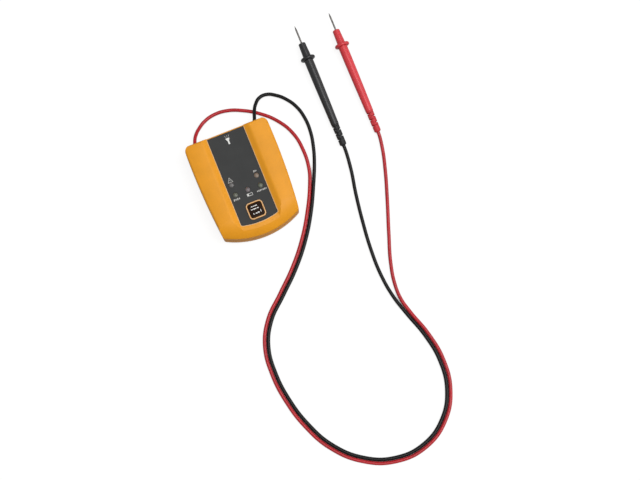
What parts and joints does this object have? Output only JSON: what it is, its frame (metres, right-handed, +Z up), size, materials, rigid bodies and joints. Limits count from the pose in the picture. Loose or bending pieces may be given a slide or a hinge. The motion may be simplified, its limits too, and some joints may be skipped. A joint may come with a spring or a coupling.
{
  "type": "continuity tester",
  "caption": "Handheld continuity tester with a recessed panel, lamps and a push button, and two probes on flexible leads that lie loose beside it.",
  "frame": {"origin": "centre of the case's flat base, on the table it lies on", "axes": "+X to the right across the case, +Y towards the end where the leads come out, +Z up out of the panel"},
  "size_m": [0.1992, 0.4458, 0.028],
  "materials": {
    "case_plastic": "satin moulded plastic",
    "film": "printed polycarbonate film",
    "key_plastic": "satin",
    "switch_plastic": "plain",
    "lens": "clear epoxy lens",
    "board": "solder mask",
    "component_black": "moulded",
    "capacitor": "sleeved can",
    "disc_resistor": "dipped coating",
    "cell": "wrapped can",
    "contact": "nickel plated",
    "fastener": "zinc plated",
    "grommet": "matte",
    "red_lead": "soft silicone",
    "black_lead": "soft silicone",
    "red_plastic": "satin moulded",
    "black_plastic": "satin moulded",
    "needle": "nickel plated"
  },
  "bodies": {
    "case": {"top_shell": "case_plastic", "bottom_shell": "case_plastic", "battery_cover": "case_plastic", "panel_film": "film", "switch_body": "switch_plastic", "lamp_high_left": "lens", "lamp_high_right": "lens", "lamp_low_left": "lens", "lamp_low_right": "lens", "lamp_battery": "lens", "torch_lamp": "lens", "circuit_board": "board", "buzzer": "component_black", "controller_chip": "component_black", "smoothing_capacitor": "capacitor", "protection_left": "disc_resistor", "protection_right": "disc_resistor", "cell_left": "cell", "cell_right": "cell", "contact_positive": "contact", "contact_negative": "contact", "contact_bridge": "contact", "case_screws": "fastener", "cover_screw": "fastener", "red_grommet": "grommet", "black_grommet": "grommet", "red_lead_tail": "red_lead", "black_lead_tail": "black_lead", "red_lead": "red_lead", "black_lead": "black_lead", "red_handle": "red_plastic", "red_boot": "red_plastic", "red_needle": "needle", "black_handle": "black_plastic", "black_boot": "black_plastic", "black_needle": "needle"},
    "button": {"button_key": "key_plastic", "switch_plunger": "switch_plastic"}
  },
  "joints": [
    {"name": "button_press", "type": "slide", "parent": "case", "child": "button", "axis": [0, 0, -1], "range_m": [0, 0.0006], "stiffness_N_per_m": 1200, "springref_m": -0.0005}
  ]
}
